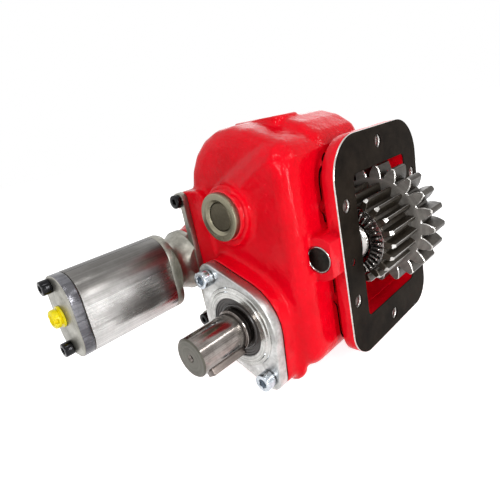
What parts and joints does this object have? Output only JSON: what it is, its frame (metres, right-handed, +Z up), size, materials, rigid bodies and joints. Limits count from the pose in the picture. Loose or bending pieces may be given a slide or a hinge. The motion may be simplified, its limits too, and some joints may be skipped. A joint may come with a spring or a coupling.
{
  "type": "side-mount power take-off unit",
  "caption": "Side-mount power take-off: red cast gearcase with a protruding input gear cluster, keyed output shaft and aluminium gear pump.",
  "frame": {"origin": "centre of the cast face that bolts to the gearbox, in the middle of its opening", "axes": "+X out of that face into the gearbox, +Z up the long side of the face, shafts along Y with the output shaft and the pump towards -Y"},
  "size_m": [0.2728, 0.3213, 0.2343],
  "materials": {
    "red_paint": "glossy enamel over rough cast iron",
    "gasket": "matt black sheet",
    "gear_steel": "case-hardened gear steel, ground faces",
    "bright_steel": "ground bright steel",
    "dark_steel": "blackened steel",
    "black_bolt": "black oxide",
    "zinc": "bright zinc plate",
    "olive_zinc": "olive passivated zinc plate",
    "cast_aluminium": "bead-blasted casting",
    "extruded_aluminium": "natural extruded finish",
    "bronze": "turned bearing bronze",
    "seal_rubber": "moulded nitrile",
    "yellow_plastic": "moulded plastic"
  },
  "bodies": {
    "case": {"cover_screw_lower": "zinc", "cover_screw_upper": "zinc", "front_bearing_ball_cage": "bronze", "front_bearing_outer_ring": "bright_steel", "gearcase": "red_paint", "input_axle": "dark_steel", "input_bearing_sleeve": "bright_steel", "input_needle_rollers": "bright_steel", "intermediate_axle": "olive_zinc", "intermediate_spacer": "bright_steel", "mounting_gasket": "gasket", "output_cover": "cast_aluminium", "output_cover_gasket": "gasket", "output_oil_seal": "seal_rubber", "port_plug": "yellow_plastic", "pump_bearing_block_front": "bronze", "pump_bearing_block_rear": "bronze", "pump_body": "extruded_aluminium", "pump_drive_bush": "bronze", "pump_flange_screw_inner": "black_bolt", "pump_flange_screw_lower": "black_bolt", "pump_flange_screw_upper": "black_bolt", "pump_front_cover": "cast_aluminium", "pump_rear_cover": "cast_aluminium", "pump_shaft_seal": "seal_rubber", "pump_through_screw_lower": "black_bolt", "pump_through_screw_upper": "black_bolt", "rear_bearing_ball_cage": "bronze", "rear_bearing_outer_ring": "bright_steel", "ring_plug": "olive_zinc", "thrust_needle_cage": "bright_steel", "thrust_washer_front": "bright_steel", "thrust_washer_rear": "bright_steel"},
    "input_cluster": {"input_gear_cluster": "gear_steel"},
    "output_line": {"output_shaft": "bright_steel", "output_key": "bright_steel", "output_gear": "gear_steel", "output_gear_circlip": "dark_steel", "front_bearing_inner_ring": "bright_steel", "rear_bearing_inner_ring": "bright_steel"},
    "intermediate_wheel": {"intermediate_gear": "gear_steel", "intermediate_bush": "bronze"},
    "pump_drive": {"pump_drive_gear": "gear_steel", "pump_drive_shaft": "bright_steel"},
    "pump_idler": {"pump_idler_gear": "bright_steel"}
  },
  "joints": [
    {"name": "input_spin", "type": "hinge", "parent": "case", "child": "input_cluster", "pos_m": [-0.014, 0, 0.005], "axis": [0, 1, 0], "continuous": true},
    {"name": "output_spin", "type": "hinge", "parent": "case", "child": "output_line", "pos_m": [-0.08047, 0, -0.04941], "axis": [0, 1, 0], "continuous": true},
    {"name": "intermediate_spin", "type": "hinge", "parent": "case", "child": "intermediate_wheel", "pos_m": [-0.08786, 0, 0.04886], "axis": [0, 1, 0], "continuous": true},
    {"name": "pump_drive_spin", "type": "hinge", "parent": "case", "child": "pump_drive", "pos_m": [-0.16856, 0, -0.0006], "axis": [0, 1, 0], "continuous": true},
    {"name": "pump_idler_spin", "type": "hinge", "parent": "case", "child": "pump_idler", "pos_m": [-0.16856, 0, -0.02075], "axis": [0, 1, 0], "continuous": true}
  ],
  "couplings": [
    {"joint": "output_spin", "follows": "input_spin", "ratio": -0.81481},
    {"joint": "intermediate_spin", "follows": "input_spin", "ratio": -0.81481},
    {"joint": "pump_drive_spin", "follows": "input_spin", "ratio": 0.81481},
    {"joint": "pump_idler_spin", "follows": "input_spin", "ratio": -0.81481}
  ]
}
